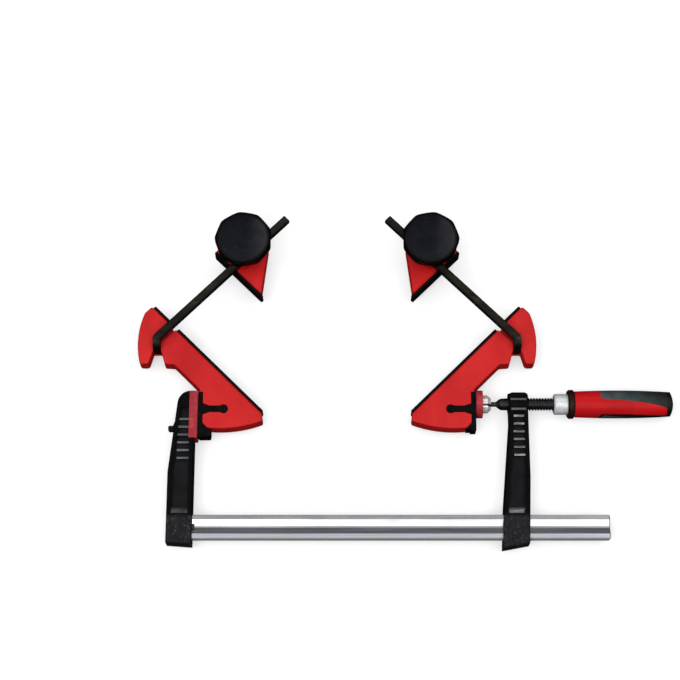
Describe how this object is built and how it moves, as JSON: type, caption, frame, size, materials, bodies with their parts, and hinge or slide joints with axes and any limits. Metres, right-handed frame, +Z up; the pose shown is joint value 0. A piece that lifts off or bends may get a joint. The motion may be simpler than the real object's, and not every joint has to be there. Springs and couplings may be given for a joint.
{
  "type": "miter clamp",
  "caption": "Bar clamp with a mirrored pair of 45 degree jaw units that hold two boards for a miter joint; counter jaws slide on hooked bars and lock with knobs.",
  "frame": {"origin": "bottom centre of the whole part's box", "axes": "+X along the screw and the rail towards the handle, +Y from the rail towards the boards, +Z up from the bench"},
  "size_m": [0.5644, 0.3618, 0.0638],
  "materials": {
    "rail_steel": "bright zinc plated, drawn",
    "black_paint": "satin black paint on a casting",
    "red_cap": "moulded, soft",
    "red_jaw": "moulded, satin with a fine grain",
    "red_handle": "moulded, glossy",
    "soft_black": "soft over-moulding",
    "black_plastic": "moulded, satin",
    "black_knob": "moulded, fine grain",
    "black_rubber": "matt, non-marking",
    "black_steel": "black oxide, oiled",
    "bright_steel": "bright zinc plated, turned",
    "pin_steel": "bright zinc plated",
    "liner_plastic": "natural nylon"
  },
  "bodies": {
    "clamp_frame": {"rail": "rail_steel", "fixed_bracket": "black_paint", "rail_wedges": "rail_steel", "fixed_jaw_cap": "red_cap"},
    "slide_arm": {"sliding_arm": "black_paint"},
    "screw_carrier": {"ball_liner": "liner_plastic"},
    "screw": {"spindle": "black_steel", "handle_ferrule": "bright_steel", "ferrule_pin": "pin_steel", "handle_collar": "black_plastic", "handle_grip": "red_handle", "handle_inserts": "soft_black", "handle_end_cap": "black_plastic"},
    "plate": {"pressure_plate": "bright_steel", "plate_cap": "red_cap"},
    "right_unit": {"right_jaw_body": "red_jaw", "right_face_pads": "black_rubber", "right_contact_pad": "black_rubber"},
    "right_bar": {"right_hook_bar": "black_steel", "right_bar_stop_pin": "pin_steel"},
    "right_slider": {"right_slider_body": "red_jaw", "right_slider_pad": "black_rubber", "right_clamp_nut": "pin_steel"},
    "right_washer": {"right_knob_washer": "pin_steel"},
    "right_knob": {"right_knob": "black_knob", "right_knob_stud": "pin_steel"},
    "left_unit": {"left_jaw_body": "red_jaw", "left_face_pads": "black_rubber", "left_contact_pad": "black_rubber"},
    "left_bar": {"left_hook_bar": "black_steel", "left_bar_stop_pin": "pin_steel"},
    "left_slider": {"left_slider_body": "red_jaw", "left_slider_pad": "black_rubber", "left_clamp_nut": "pin_steel"},
    "left_washer": {"left_knob_washer": "pin_steel"},
    "left_knob": {"left_knob": "black_knob", "left_knob_stud": "pin_steel"}
  },
  "joints": [
    {"name": "arm_slide", "type": "slide", "parent": "clamp_frame", "child": "slide_arm", "axis": [1, 0, 0], "range_m": [-0.052, 0.07]},
    {"name": "screw_travel", "type": "slide", "parent": "slide_arm", "child": "screw_carrier", "axis": [1, 0, 0], "range_m": [-0.025, 0.015]},
    {"name": "screw_turn", "type": "hinge", "parent": "screw_carrier", "child": "screw", "pos_m": [0.08377, -0.02559, 0.0153], "axis": [1, 0, 0], "range_deg": [-3001, 1801]},
    {"name": "plate_swivel", "type": "hinge", "parent": "screw_carrier", "child": "plate", "pos_m": [0.08377, -0.02559, 0.0153], "axis": [0, 0, 1], "range_deg": [-4, 4]},
    {"name": "right_unit_lift", "type": "slide", "parent": "plate", "child": "right_unit", "axis": [0, 0, 1], "range_m": [0, 0.06]},
    {"name": "right_bar_lift", "type": "slide", "parent": "right_unit", "child": "right_bar", "axis": [0, 0, 1], "range_m": [0, 0.03]},
    {"name": "right_jaw_slide", "type": "slide", "parent": "right_bar", "child": "right_slider", "axis": [-0.7071, 0.7071, 0], "range_m": [-0.084, 0.028]},
    {"name": "right_knob_rise", "type": "slide", "parent": "right_slider", "child": "right_washer", "axis": [0, 0, 1], "range_m": [0, 0.0025]},
    {"name": "right_knob_turn", "type": "hinge", "parent": "right_washer", "child": "right_knob", "pos_m": [0.02877, 0.14625, 0.0448], "axis": [0, 0, 1], "range_deg": [0, 721]},
    {"name": "left_unit_lift", "type": "slide", "parent": "clamp_frame", "child": "left_unit", "axis": [0, 0, 1], "range_m": [0, 0.06]},
    {"name": "left_bar_lift", "type": "slide", "parent": "left_unit", "child": "left_bar", "axis": [0, 0, 1], "range_m": [0, 0.03]},
    {"name": "left_jaw_slide", "type": "slide", "parent": "left_bar", "child": "left_slider", "axis": [0.7071, 0.7071, 0], "range_m": [-0.084, 0.028]},
    {"name": "left_knob_rise", "type": "slide", "parent": "left_slider", "child": "left_washer", "axis": [0, 0, 1], "range_m": [0, 0.0025]},
    {"name": "left_knob_turn", "type": "hinge", "parent": "left_washer", "child": "left_knob", "pos_m": [-0.17063, 0.14625, 0.0448], "axis": [0, 0, 1], "range_deg": [0, 721]}
  ],
  "couplings": [
    {"joint": "screw_turn", "follows": "screw_travel", "rad_per_m": 2094.4},
    {"joint": "right_knob_turn", "follows": "right_knob_rise", "rad_per_m": 5026.5},
    {"joint": "left_knob_turn", "follows": "left_knob_rise", "rad_per_m": 5026.5}
  ]
}
